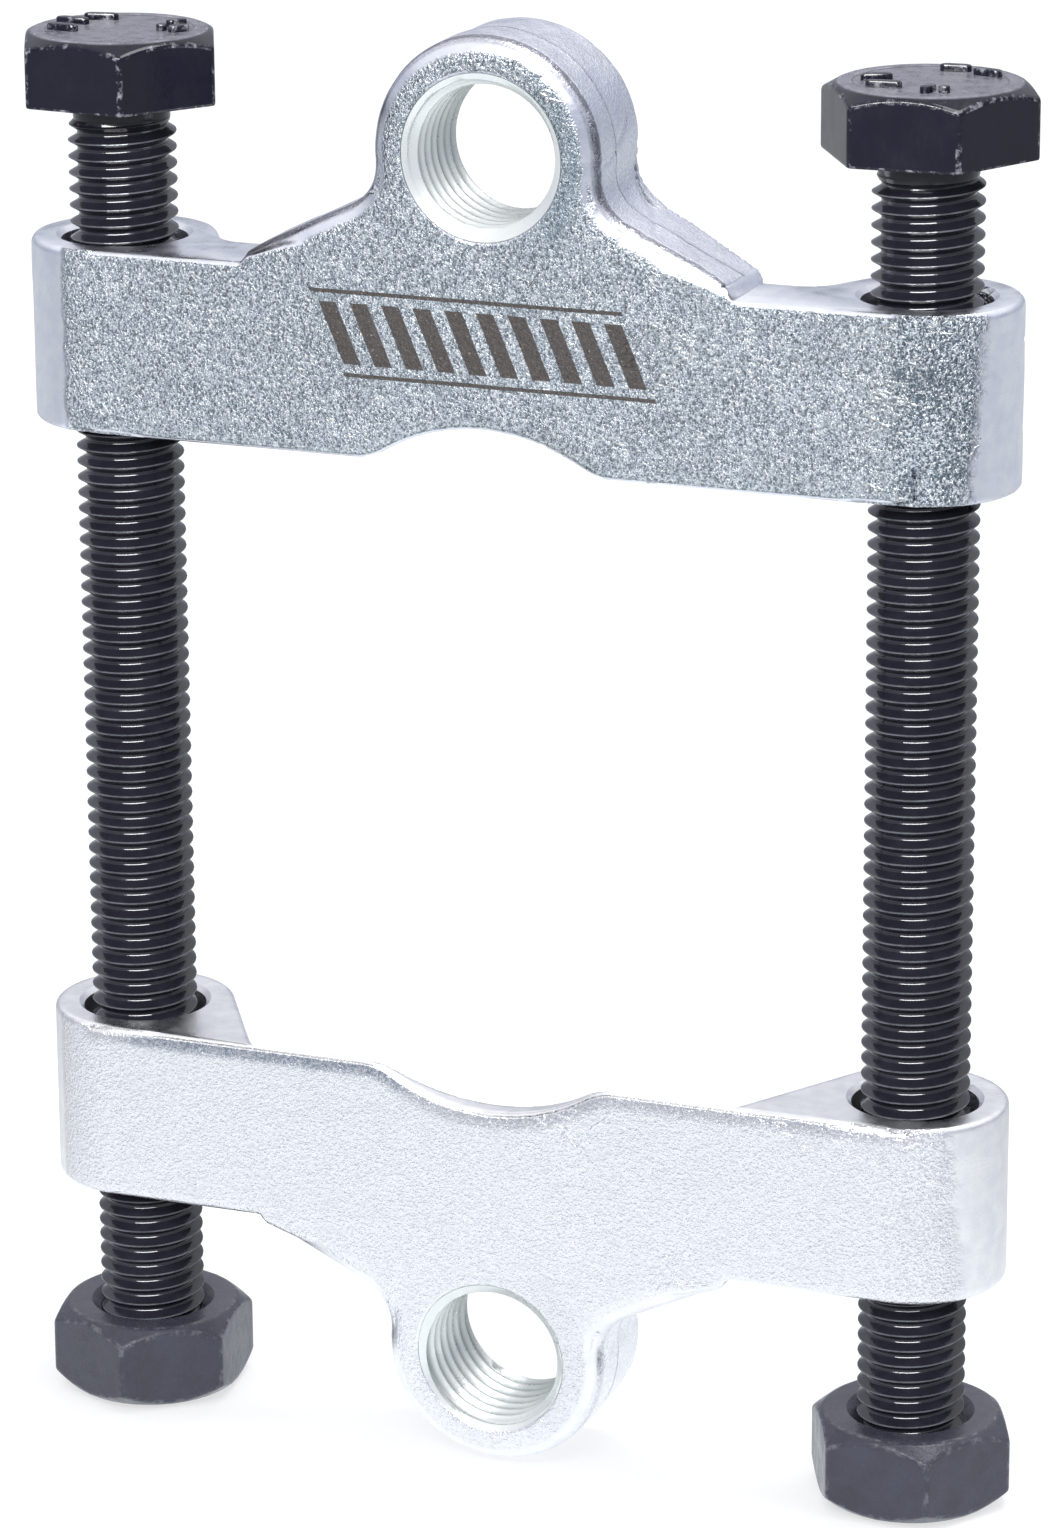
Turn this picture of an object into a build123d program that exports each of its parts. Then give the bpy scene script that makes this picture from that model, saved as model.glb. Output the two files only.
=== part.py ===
from build123d import *
from math import atan2, cos, radians, sin, tan
import os

# Two-yoke clamp for pulling and compressing: two forged yokes on two full-thread hexagon bolts.
# Frame: millimetres, +Z up, X along the yokes, -Y front. Origin: midway between the bolts, at the nuts' lower faces.

# --- bolts and nuts (M10 x 1.5, 17 mm across flats) ---
bolt_spacing = 76.5
thread_diameter = 10.0
across_flats = 17.0
head_height = 6.4
shank_length = 125.0
tip_chamfer = 1.2
nut_height = 8.0
nut_bore = 10.1
nut_countersink = 11.8
hex_face_radius = 8.2
hex_chamfer_angle = 30.0
left_head_turn = -5.5
right_head_turn = 2.0
left_nut_turn = 36.0
right_nut_turn = -4.0

# --- yokes ---
bar_height = 17.0
end_radius = 8.5
bolt_hole = 11.6
lobe_toe = 23.4
web_edge = 0.4
web_thickness = 11.8
back_slope = 0.5
eye_height = 19.4
eye_radius = 10.5
eye_bore = 14.0
eye_chamfer = 0.6
hole_chamfer = 0.4
pad_end = 22.7
facet_top_x = 19.7
facet_top_z = 10.3
ramp_angle = 23.5
neck_fillet = 4.5
relief_radius = 18.0
relief_depth = 3.5
relief_blend = 5.0
lobe_fillet = 3.0
front_round = 1.2
end_round = 0.8
thin_break = 0.3

# --- where things stand along the bolts ---
nut_base = 0.0
lower_yoke_centre = 30.0
upper_yoke_centre = 104.2

bolt_x = bolt_spacing / 2
half_bar = bar_height / 2
front_y = -end_radius
hex_corner = across_flats / (2 * cos(radians(30)))
head_underside = nut_base + shank_length
nut_top = nut_base + nut_height
os.makedirs("parts", exist_ok=True)

# --- upper yoke: eye up, thin inner edge down ---
ramp_rise = tan(radians(ramp_angle))
shoulder_x = 6.0
shoulder_z = facet_top_z + (facet_top_x - shoulder_x) * ramp_rise
front_plane = Plane((0, front_y, upper_yoke_centre), x_dir=(1, 0, 0), z_dir=(0, -1, 0))
side_plane = Plane((0, 0, upper_yoke_centre), x_dir=(0, 1, 0), z_dir=(1, 0, 0))
outer_z = upper_yoke_centre + half_bar
inner_z = upper_yoke_centre - half_bar

# where the flank from the lobe's toe touches the round end
toe_run = bolt_x - lobe_toe
flank_turn = 2 * atan2(end_radius, toe_run)
flank_x = lobe_toe + toe_run * cos(flank_turn)
flank_y = front_y + toe_run * sin(flank_turn)


def on_front(edge):
    return abs(edge.center().Y - front_y) < 0.05


def is_lobe_rim(edge):
    return abs(edge.center().X) > 24 or on_front(edge)


with BuildPart() as upper_yoke:
    # front outline of the web, with the ramps up to the eye
    with BuildSketch(front_plane) as outline:
        Rectangle(bolt_spacing, bar_height)
        with BuildLine():
            Polyline(
                (-pad_end, 0),
                (-pad_end, half_bar),
                (-facet_top_x, facet_top_z),
                (-shoulder_x, shoulder_z),
                (shoulder_x, shoulder_z),
                (facet_top_x, facet_top_z),
                (pad_end, half_bar),
                (pad_end, 0),
                close=True,
            )
        make_face()
        with Locations((0, eye_height)):
            Circle(eye_radius)
        necks = outline.vertices().filter_by(lambda v: 8 < abs(v.X) < 12 and v.Z > outer_z)
        fillet(necks, radius=neck_fillet)
        # hollow in the thin edge
        with Locations((0, -half_bar + relief_depth - relief_radius)):
            Circle(relief_radius, mode=Mode.SUBTRACT)
        corners = outline.vertices().filter_by(lambda v: 8 < abs(v.X) < 13 and v.Z < inner_z + 0.1)
        fillet(corners, radius=relief_blend)
    extrude(amount=-web_thickness)
    # sloping back: a thin edge below, full thickness at the eye
    slope_top = -half_bar + (web_thickness - web_edge) / back_slope
    with BuildSketch(side_plane):
        with BuildLine():
            Polyline(
                (front_y + web_edge - back_slope * 3, -half_bar - 3),
                (front_y + web_thickness, slope_top),
                (front_y + web_thickness + 6, slope_top),
                (front_y + web_thickness + 6, -half_bar - 3),
                close=True,
            )
        make_face()
    extrude(amount=bolt_spacing, both=True, mode=Mode.SUBTRACT)
    # end lobes: round about the bolt, tangent flanks running to the front edge
    with BuildSketch(Plane.XY.offset(inner_z)):
        with Locations((bolt_x, 0), (-bolt_x, 0)):
            Circle(end_radius)
        Polygon((lobe_toe, front_y), (bolt_x, front_y), (bolt_x, 0), (flank_x, flank_y), align=None)
        Polygon((-lobe_toe, front_y), (-bolt_x, front_y), (-bolt_x, 0), (-flank_x, flank_y), align=None)
    extrude(amount=bar_height)
    # the lower rims are broken before the blends meet them
    thin_rims = upper_yoke.edges().filter_by(lambda e: abs(e.center().Z - inner_z) < 0.05 and is_lobe_rim(e))
    chamfer(thin_rims, length=thin_break)
    # concave blend where each lobe meets the sloping back
    valleys = upper_yoke.edges().filter_by(lambda e: 25 < abs(e.center().X) < 28 and -5 < e.center().Y < -3)
    fillet(valleys, radius=lobe_fillet)
    # rounded edges
    outer_front = upper_yoke.edges().filter_by(lambda e: on_front(e) and e.center().Z > outer_z + 0.1)
    fillet(outer_front, radius=front_round)
    end_rims = upper_yoke.edges().filter_by(lambda e: abs(e.center().Z - outer_z) < 0.05 and abs(e.center().X) > 24)
    fillet(end_rims, radius=end_round)
    # plain clearance holes for the bolts
    with Locations((bolt_x, 0, outer_z), (-bolt_x, 0, outer_z)):
        Hole(bolt_hole / 2)
    # eye for the pull rod, at its thread's outer diameter
    with BuildSketch(front_plane):
        with Locations((0, eye_height)):
            Circle(eye_bore / 2)
    extrude(amount=-web_thickness, mode=Mode.SUBTRACT)
    mouths = upper_yoke.edges().filter_by(GeomType.CIRCLE).filter_by(lambda e: abs(e.radius - eye_bore / 2) < 0.01)
    chamfer(mouths, length=eye_chamfer)
    rims = upper_yoke.edges().filter_by(GeomType.CIRCLE).filter_by(lambda e: abs(e.radius - bolt_hole / 2) < 0.01)
    chamfer(rims, length=hole_chamfer)
upper_yoke.part.label = "upper_yoke"

# --- lower yoke: the same forging turned over about the front-to-back axis ---
with BuildPart() as lower_yoke:
    add(upper_yoke.part.rotate(Axis.Y, 180).moved(Location((0, 0, upper_yoke_centre + lower_yoke_centre))))
lower_yoke.part.label = "lower_yoke"

# --- bolts: full-thread hexagon bolts, heads up, thread drawn at its outer diameter ---
head_top = head_underside + head_height
hex_reach = hex_corner + 1
head_drop = (hex_reach - hex_face_radius) * tan(radians(hex_chamfer_angle))

with BuildPart() as left_bolt:
    with BuildSketch(Plane.XY.offset(head_underside)):
        with Locations((-bolt_x, 0)):
            RegularPolygon(hex_corner, 6, rotation=left_head_turn)
    extrude(amount=head_height)
    # worn-back corners: the hexagon turned to a cone at its top
    with BuildSketch(Plane((-bolt_x, 0, 0), x_dir=(1, 0, 0), z_dir=(0, -1, 0))):
        with BuildLine():
            Polyline(
                (0, head_underside),
                (hex_reach, head_underside),
                (hex_reach, head_top - head_drop),
                (hex_face_radius, head_top),
                (0, head_top),
                close=True,
            )
        make_face()
    revolve(axis=Axis((-bolt_x, 0, 0), (0, 0, 1)), mode=Mode.INTERSECT)
    with BuildSketch(Plane.XY.offset(nut_base)):
        with Locations((-bolt_x, 0)):
            Circle(thread_diameter / 2)
    extrude(amount=shank_length)
    chamfer(left_bolt.edges().group_by(Axis.Z)[0], length=tip_chamfer)
left_bolt.part.label = "left_bolt"

with BuildPart() as right_bolt:
    with BuildSketch(Plane.XY.offset(head_underside)):
        with Locations((bolt_x, 0)):
            RegularPolygon(hex_corner, 6, rotation=right_head_turn)
    extrude(amount=head_height)
    with BuildSketch(Plane((bolt_x, 0, 0), x_dir=(1, 0, 0), z_dir=(0, -1, 0))):
        with BuildLine():
            Polyline(
                (0, head_underside),
                (hex_reach, head_underside),
                (hex_reach, head_top - head_drop),
                (hex_face_radius, head_top),
                (0, head_top),
                close=True,
            )
        make_face()
    revolve(axis=Axis((bolt_x, 0, 0), (0, 0, 1)), mode=Mode.INTERSECT)
    with BuildSketch(Plane.XY.offset(nut_base)):
        with Locations((bolt_x, 0)):
            Circle(thread_diameter / 2)
    extrude(amount=shank_length)
    chamfer(right_bolt.edges().group_by(Axis.Z)[0], length=tip_chamfer)
right_bolt.part.label = "right_bolt"

# --- nuts: both faces turned back, mouths countersunk ---
with BuildPart() as left_nut:
    with BuildSketch(Plane.XY.offset(nut_base)):
        with Locations((-bolt_x, 0)):
            RegularPolygon(hex_corner, 6, rotation=left_nut_turn)
    extrude(amount=nut_height)
    with BuildSketch(Plane((-bolt_x, 0, 0), x_dir=(1, 0, 0), z_dir=(0, -1, 0))):
        with BuildLine():
            Polyline(
                (0, nut_base),
                (hex_face_radius, nut_base),
                (hex_reach, nut_base + head_drop),
                (hex_reach, nut_top - head_drop),
                (hex_face_radius, nut_top),
                (0, nut_top),
                close=True,
            )
        make_face()
    revolve(axis=Axis((-bolt_x, 0, 0), (0, 0, 1)), mode=Mode.INTERSECT)
    with Locations((-bolt_x, 0, nut_top)):
        Hole(nut_bore / 2)
    mouths = left_nut.edges().filter_by(GeomType.CIRCLE).filter_by(lambda e: abs(e.radius - nut_bore / 2) < 0.01)
    chamfer(mouths, length=(nut_countersink - nut_bore) / 2)
left_nut.part.label = "left_nut"

with BuildPart() as right_nut:
    with BuildSketch(Plane.XY.offset(nut_base)):
        with Locations((bolt_x, 0)):
            RegularPolygon(hex_corner, 6, rotation=right_nut_turn)
    extrude(amount=nut_height)
    with BuildSketch(Plane((bolt_x, 0, 0), x_dir=(1, 0, 0), z_dir=(0, -1, 0))):
        with BuildLine():
            Polyline(
                (0, nut_base),
                (hex_face_radius, nut_base),
                (hex_reach, nut_base + head_drop),
                (hex_reach, nut_top - head_drop),
                (hex_face_radius, nut_top),
                (0, nut_top),
                close=True,
            )
        make_face()
    revolve(axis=Axis((bolt_x, 0, 0), (0, 0, 1)), mode=Mode.INTERSECT)
    with Locations((bolt_x, 0, nut_top)):
        Hole(nut_bore / 2)
    mouths = right_nut.edges().filter_by(GeomType.CIRCLE).filter_by(lambda e: abs(e.radius - nut_bore / 2) < 0.01)
    chamfer(mouths, length=(nut_countersink - nut_bore) / 2)
right_nut.part.label = "right_nut"

export_step(upper_yoke.part, "parts/upper_yoke.step")
export_step(lower_yoke.part, "parts/lower_yoke.step")
export_step(left_bolt.part, "parts/left_bolt.step")
export_step(right_bolt.part, "parts/right_bolt.step")
export_step(left_nut.part, "parts/left_nut.step")
export_step(right_nut.part, "parts/right_nut.step")
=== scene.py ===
import bpy
import bmesh
import math
import numpy as np
from mathutils import Matrix, Vector
from mathutils.bvhtree import BVHTree
from mathutils import noise as mnoise


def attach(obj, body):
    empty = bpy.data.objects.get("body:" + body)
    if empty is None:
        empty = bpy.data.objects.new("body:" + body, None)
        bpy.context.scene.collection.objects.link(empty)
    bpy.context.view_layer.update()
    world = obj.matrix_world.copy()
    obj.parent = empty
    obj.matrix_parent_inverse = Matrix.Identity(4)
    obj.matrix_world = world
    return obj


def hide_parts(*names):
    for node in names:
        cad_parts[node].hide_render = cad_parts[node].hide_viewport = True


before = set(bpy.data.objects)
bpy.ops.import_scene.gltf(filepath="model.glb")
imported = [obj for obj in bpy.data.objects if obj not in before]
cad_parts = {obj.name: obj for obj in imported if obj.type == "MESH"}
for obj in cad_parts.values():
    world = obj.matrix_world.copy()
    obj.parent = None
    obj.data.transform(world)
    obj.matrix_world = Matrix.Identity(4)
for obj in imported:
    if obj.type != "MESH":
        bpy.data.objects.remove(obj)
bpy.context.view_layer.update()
MM = 0.001  # metres in a millimetre

# ---------------------------------------------------------------- dimensions (mm)
BOLT_X = 38.25
FLATS = 17.0
HEX_FACE_R = 8.2
HEAD_H = 6.4
HEAD_Z = 125.0
NUT_H = 8.0
PITCH = 1.5
THREAD_R = 4.95
ROOT_R = 4.08
NUT_R = 4.22
NUT_MAJOR = 5.03
NECK_R = 4.42      # plain neck under the head
TIP_R = 3.75       # flat end of the bolt's tip
HEAD_DISH = 0.12   # how far the head's top is sunk inside its rim
SINK_R = 5.9
FRONT_Y = -8.5
WEB_T = 11.8
EDGE_T = 0.4       # thin inner edge of the web
WEB_SLOPE = 0.5
BAR_H = 17.0
EYE_Z = 19.4
EYE_R = 10.5
UPPER_Z = 104.2
LOWER_Z = 30.0
HOLE_R = 5.8
EYE_MINOR = 6.3    # thread of the eye, M14 x 1.5
EYE_MAJOR = 7.0
EYE_PITCH = 1.5
PLUG_EYE_R = 8.2   # plugs that fill the holes before the skin is remeshed
PLUG_HOLE_R = 6.6
MID_Y = -2.8
PAD_Z = 8.42
# where each thread starts within its pitch, and how each hexagon is turned (degrees), as in the photo
SHIFT = {"left": 0.27, "right": 0.62}
VOXEL = 0.3        # cell of the remeshed skin
TURN = {"left_bolt": -5.5, "right_bolt": 2.0, "left_nut": 36.0, "right_nut": -4.0}


# ---------------------------------------------------------------- mesh helpers
def new_object(name, verts, faces, smooth_angle=None):
    me = bpy.data.meshes.new(name)
    me.from_pydata([tuple(v) for v in np.asarray(verts) * MM], [], faces)
    ob = bpy.data.objects.new(name, me)
    bpy.context.scene.collection.objects.link(ob)
    tidy(ob)
    if smooth_angle is not None:
        shade(ob, smooth_angle)
    return ob


def shade(ob, angle):
    ob.data.shade_smooth()
    ob.data.set_sharp_from_angle(angle=math.radians(angle))


def tidy(ob, dist=2e-6):
    bm = bmesh.new()
    bm.from_mesh(ob.data)
    bmesh.ops.remove_doubles(bm, verts=bm.verts, dist=dist)
    bmesh.ops.dissolve_degenerate(bm, edges=bm.edges, dist=dist)
    bmesh.ops.recalc_face_normals(bm, faces=bm.faces)
    bm.to_mesh(ob.data)
    bm.free()
    ob.data.update()


def link_rows(a, b, n):
    return [(a + j, a + (j + 1) % n, b + (j + 1) % n, b + j) for j in range(n)]


SECTOR = [0, 1.2, 2.8, 6, 12, 20, 30, 40, 48, 54, 57.2, 58.8]
# thread form over one pitch: (share of the pitch, share of the depth)
FORM = [(0.0, 1.0), (0.035, 0.985), (0.065, 0.90), (0.30, 0.22), (0.36, 0.085), (0.42, 0.02), (0.5, 0.0),
    (0.58, 0.02), (0.64, 0.085), (0.70, 0.22), (0.935, 0.90), (0.965, 0.985)]


def columns(turn):
    return np.radians(np.array([turn + 60 * s + o for s in range(6) for o in SECTOR]))


def hex_radius(theta, turn, flats=FLATS, corner=0.5):
    h = flats / 2
    a = np.abs(np.mod(theta - math.radians(turn) + math.pi / 6, math.pi / 3) - math.pi / 6)
    flat = h / np.cos(math.pi / 6 - a)
    c = (h - corner) / math.cos(math.pi / 6)
    arc = c * np.cos(a) + np.sqrt(np.maximum(corner**2 - (c * np.sin(a)) ** 2, 0))
    touch = math.atan2(corner * 0.5, c + corner * math.cos(math.pi / 6))
    return np.where(a < touch, arc, flat)


def screw_rows(theta, z0, z1, root, crest, shift, limit, grow=False, pitch=PITCH):
    """Rings that follow a right-hand thread from z0 to z1.

    limit(z) caps the radius, or opens it if grow is set."""
    rows = []
    for k in range(int(math.floor(z0 / pitch)) - 3, int(math.ceil(z1 / pitch)) + 3):
        for f, d in FORM:
            z = np.clip(pitch * (k + f + shift + theta / (2 * math.pi)), z0, z1)
            r = root + (crest - root) * d + 0 * z
            r = np.maximum(r, limit(z)) if grow else np.minimum(r, limit(z))
            rows.append(np.stack([r * np.cos(theta), r * np.sin(theta), z], 1))
    return rows


def screw_faces(rows, n, base):
    per = len(FORM)
    out = []
    for i in range(rows - 1):
        for j in range(n - 1):
            out.append((base + i * n + j, base + i * n + j + 1, base + (i + 1) * n + j + 1,
                base + (i + 1) * n + j))
        if i + 1 + per < rows:
            out.append((base + i * n + n - 1, base + (i + per) * n, base + (i + 1 + per) * n,
                base + (i + 1) * n + n - 1))
    return out


def turned(theta, pts):
    """Rings along a profile of (radius, height, setback of its rounding).

    Radius and height may vary with the angle."""
    n = len(theta)
    p = [np.stack([np.broadcast_to(r, n).astype(float), np.broadcast_to(z, n).astype(float)], 1) for r, z,
        s in pts]
    rows = []
    for i, (r, z, s) in enumerate(pts):
        if s == 0 or i in (0, len(pts) - 1):
            rows.append(p[i])
            continue
        da, dc = p[i - 1] - p[i], p[i + 1] - p[i]
        la, lc = np.linalg.norm(da, axis=1), np.linalg.norm(dc, axis=1)
        t = np.minimum(s, 0.45 * np.minimum(la, lc))[:, None]
        a = p[i] + da / np.maximum(la, 1e-9)[:, None] * t
        c = p[i] + dc / np.maximum(lc, 1e-9)[:, None] * t
        near = p[i] + da / np.maximum(la, 1e-9)[:, None] * (t + np.minimum(0.08, 0.04 * la[:, None]))
        far = p[i] + dc / np.maximum(lc, 1e-9)[:, None] * (t + np.minimum(0.08, 0.04 * lc[:, None]))
        rows += [near, a, 0.25 * a + 0.5 * p[i] + 0.25 * c, c, far]
    return [np.stack([q[:, 0] * np.cos(theta), q[:, 0] * np.sin(theta), q[:, 1]], 1) for q in rows]


def move(ob, x=0.0, y=0.0, z=0.0, m=None):
    if m is not None:
        ob.data.transform(m)
    ob.data.transform(Matrix.Translation((x * MM, y * MM, z * MM)))


# ---------------------------------------------------------------- bolts
def make_bolt(name, side):
    turn = TURN[name]
    th = columns(turn)
    n = len(th)

    def limit(z):
        return np.minimum(TIP_R + z, np.maximum(4.0, 4.0 + HEAD_Z - z))

    rows = screw_rows(th, 0.0, HEAD_Z, ROOT_R, THREAD_R, SHIFT[side], limit)
    for row in rows:
        # the thread runs out into a plain neck below the head
        rr = np.hypot(row[:, 0], row[:, 1])
        f = step(row[:, 2], HEAD_Z - 2.6, HEAD_Z - 1.5) * (row[:, 2] < HEAD_Z - 1e-6)
        row[:, :2] *= ((rr + f * (NECK_R - rr)) / rr)[:, None]
    faces = screw_faces(len(rows), n, 0)
    rh = hex_radius(th, turn)
    slope = math.tan(math.radians(30))
    top = HEAD_Z + HEAD_H
    head = turned(th, [
        (4.0, HEAD_Z, 0), (8.0, HEAD_Z, 0), (rh, HEAD_Z, 0.25),
        (rh, top - (rh - HEX_FACE_R + 0.25) * slope, 0.3),
        (HEX_FACE_R - 0.25, top, 0.35), (6.9, top, 0), (6.6, top - HEAD_DISH, 0.1),
        (3.0, top - HEAD_DISH, 0)])
    base = len(rows)
    rows += head
    for i in range(base, len(rows) - 1):
        faces += link_rows(i * n, (i + 1) * n, n)
    tip = turned(th, [(TIP_R, 0.0, 0), (1.5, 0.0, 0)])
    tb = len(rows)
    rows += tip
    faces += link_rows(tb * n, (tb + 1) * n, n)
    verts = np.concatenate(rows)
    c0 = len(verts)
    verts = np.concatenate([verts, [[0, 0, top - HEAD_DISH], [0, 0, 0.0]]])
    last = (tb - 1) * n
    faces += [(last + j, last + (j + 1) % n, c0) for j in range(n)]
    last = (tb + 1) * n
    faces += [(last + j, last + (j + 1) % n, c0 + 1) for j in range(n)]
    ob = new_object(name, verts, faces, 24)
    add_marks(ob, top - HEAD_DISH, side)
    tidy(ob, 1e-6)
    shade(ob, 24)
    co = arrays(ob.data)[0] / MM
    rad = np.hypot(co[:, 0], co[:, 1])
    attribute(ob.data, "crest", step(rad, 4.895, 4.95) * (co[:, 2] < HEAD_Z - 1.6))
    mark_edges(ob, HEAD_Z - 0.1, HEAD_Z + HEAD_H + 1)
    return ob


def mark_edges(ob, z0, z1):
    """An attribute that is 1 along the rounded edges between z0 and z1 (mm), for wear and a painted edge
    highlight.
    """
    bm = bmesh.new()
    bm.from_mesh(ob.data)
    val = [max([abs(e.calc_face_angle(0.0)) for e in v.link_edges] + [0.0]) if z0 < v.co.z / MM < z1
        else 0.0 for v in bm.verts]
    bm.free()
    attribute(ob.data, "edge", step(np.array(val), math.radians(7), math.radians(14)))


def pill(x, y, z, length, width, height, angle):
    """A small raised bar with rounded ends."""
    n = 8
    base = []
    for sx in (1, -1):
        for k in range(n + 1):
            a = math.pi * (k / n - 0.5)
            base.append((sx * (length / 2 - width / 2) + sx * width / 2 * math.cos(a),
                sx * width / 2 * math.sin(a)))
    base = np.array(base)
    rows = [np.c_[base, np.full(len(base), z - 0.4)], np.c_[base, np.full(len(base), z + height - 0.14)],
            np.c_[base * 0.93, np.full(len(base), z + height - 0.03)],
            np.c_[base * 0.8, np.full(len(base), z + height)]]
    m = len(base)
    faces = [tuple(range(m - 1, -1, -1)), tuple(range(3 * m, 4 * m))]
    for i in range(3):
        faces += link_rows(i * m, (i + 1) * m, m)
    ob = new_object("pill", np.concatenate(rows), faces)
    ob.data.transform(Matrix.Translation((x * MM, y * MM, 0)) @ Matrix.Rotation(math.radians(angle), 4,
        "Z"))
    return ob


def add_marks(ob, z, side):
    """Plain raised bars and dots on the head's top, in place of any marking."""
    if side == "left":
        bars = [(-3.6, 3.9, 3.2, 12), (-5.2, 1.2, 3.2, 0), (-4.6, -2.2, 3.2, -8), (4.2, 3.2, 2.0, 50),
            (5.6, 0.6, 2.0, 50), (3.9, 0.6, 1.0, 0)]
    else:
        bars = [(0.6, 5.4, 2.8, 4), (3.8, 4.3, 2.8, -16), (-4.6, -0.8, 2.8, 24), (-3.0, -3.8, 3.2, 6),
            (1.2, -4.6, 1.9, 80), (2.6, -4.4, 1.0, 0)]
    for x, y, length, angle in bars:
        combine(ob, pill(x, y, z, length, 0.95, 0.6, angle), "UNION")


# ---------------------------------------------------------------- nuts
def make_nut(name, side):
    turn = TURN[name]
    th = columns(turn)
    n = len(th)

    def limit(z):
        return np.maximum(SINK_R - z * 1.15, SINK_R - (NUT_H - z) * 1.15)

    rows = screw_rows(th, 0.0, NUT_H, NUT_R, NUT_MAJOR, SHIFT[side], limit, grow=True)
    faces = screw_faces(len(rows), n, 0)
    rh = hex_radius(th, turn)
    slope = math.tan(math.radians(40))
    rise = (rh - HEX_FACE_R + 0.2) * slope
    body = turned(th, [
        (SINK_R, NUT_H, 0), (SINK_R + 0.25, NUT_H, 0), (HEX_FACE_R - 0.2, NUT_H, 0.35),
        (rh, NUT_H - rise, 0.3),
        (rh, rise, 0.3), (HEX_FACE_R - 0.2, 0.0, 0.35), (SINK_R + 0.25, 0.0, 0), (SINK_R, 0.0, 0)])
    base = len(rows)
    rows += body
    for i in range(base, len(rows) - 1):
        faces += link_rows(i * n, (i + 1) * n, n)
    ob = new_object(name, np.concatenate(rows), faces, 24)
    mark_edges(ob, -1, NUT_H + 1)
    co = arrays(ob.data)[0] / MM
    keep = step(np.hypot(co[:, 0], co[:, 1]), 7.0, 7.6)
    edge = np.empty(len(co), np.float32)
    ob.data.attributes["edge"].data.foreach_get("value", edge)
    attribute(ob.data, "edge", edge * keep)
    return ob


# ---------------------------------------------------------------- tools for the yokes
def tap(depth_from, depth_to, root, crest, pitch, mouth_r, back_r, shift=0.3):
    """A helical cutting tool along Z whose ends flare to the mouths' radii."""
    th = np.radians(np.arange(0, 360, 5.0))
    n = len(th)

    def limit(z):
        a = mouth_r - (z - depth_from - 1.0) * 1.7
        b = back_r - (depth_to - 1.0 - z) * 1.0
        return np.maximum(a, b)

    rows = []
    k0, k1 = int(math.floor(depth_from / pitch)) - 3, int(math.ceil(depth_to / pitch)) + 3
    for k in range(k0, k1):
        for f, d in FORM:
            z = np.clip(pitch * (k + f + shift + th / (2 * math.pi)), depth_from, depth_to)
            r = np.maximum(root + (crest - root) * (1 - d) + 0 * z, limit(z))
            r = np.where(z <= depth_from, limit(z), r)
            r = np.where(z >= depth_to, limit(z), r)
            rows.append(np.stack([r * np.cos(th), r * np.sin(th), z], 1))
    faces = screw_faces(len(rows), n, 0)
    verts = np.concatenate(rows)
    c0 = len(verts)
    verts = np.concatenate([verts, [[0, 0, depth_from], [0, 0, depth_to]]])
    faces += [(j, (j + 1) % n, c0) for j in range(n)]
    last = (len(rows) - 1) * n
    faces += [(last + j, last + (j + 1) % n, c0 + 1) for j in range(n)]
    return new_object("tap", verts, faces)


def lathe(profile, n=96):
    """A closed turned solid along Z from a list of (radius, height)."""
    th = np.linspace(0, 2 * math.pi, n, endpoint=False)
    rows = turned(th, [(r, z, 0) for r, z in profile])
    faces = []
    for i in range(len(rows) - 1):
        faces += link_rows(i * n, (i + 1) * n, n)
    verts = np.concatenate(rows)
    c0 = len(verts)
    verts = np.concatenate([verts, [[0, 0, profile[0][1]], [0, 0, profile[-1][1]]]])
    faces += [(j, (j + 1) % n, c0) for j in range(n)]
    last = (len(rows) - 1) * n
    faces += [(last + j, last + (j + 1) % n, c0 + 1) for j in range(n)]
    return new_object("lathe", verts, faces)


def block(x0, x1, y0, y1, z0, z1):
    v = [(x, y, z) for x in (x0, x1) for y in (y0, y1) for z in (z0, z1)]
    f = [(0, 1, 3, 2), (4, 6, 7, 5), (0, 4, 5, 1), (2, 3, 7, 6), (0, 2, 6, 4), (1, 5, 7, 3)]
    return new_object("block", v, f)


RAMP_END = (22.6, 9.4)
RAMP_FOOT = (23.3, 8.42)


def ramp_line():
    """The ramp's outline from its foot to the eye's flank (mm, in x and z)."""
    slope, neck = 0.48, 4.5
    along = np.array([-1.0, slope]) / math.hypot(1, slope)
    up = np.array([slope, 1.0]) / math.hypot(1, slope)
    eye = np.array([0.0, EYE_Z])
    ts = np.linspace(5, 16, 2201)
    centres = np.array(RAMP_END) + neck * up + ts[:, None] * along
    i = np.argmin(np.abs(np.hypot(*(centres - eye).T) - (EYE_R + neck)))
    c = centres[i]
    to_eye = (eye - c) / np.linalg.norm(eye - c)
    a0, a1 = math.atan2(-up[1], -up[0]), math.atan2(to_eye[1], to_eye[0])
    if a1 > a0:
        a1 -= 2 * math.pi
    arc = [tuple(c + neck * np.array([math.cos(a), math.sin(a)])) for a in np.linspace(a0, a1, 9)]
    return [RAMP_FOOT, RAMP_END] + arc


def ramp(side):
    """One ramp's body, a little fuller than the flat-sided solid, with the facet at its foot."""
    prof = ramp_line() + [(8.5, EYE_Z - 4.5), (8.5, 8.0), (RAMP_FOOT[0], 8.0)]
    prof = [(side * x, z) for x, z in prof]
    if side < 0:
        prof = prof[::-1]
    n = len(prof)
    v = [(x, FRONT_Y, z) for x, z in prof] + [(x, min(FRONT_Y + WEB_T,
        FRONT_Y + EDGE_T + WEB_SLOPE * (z + BAR_H / 2)), z) for x, z in prof]
    f = [tuple(range(n)), tuple(range(2 * n - 1, n - 1, -1))] + [(i, i + n, (i + 1) % n + n, (i + 1) % n)
        for i in range(n)]
    ob = new_object("ramp", v, f)
    bm = bmesh.new()
    bm.from_mesh(ob.data)
    bmesh.ops.recalc_face_normals(bm, faces=bm.faces)
    bm.to_mesh(ob.data)
    bm.free()
    return ob


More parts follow.
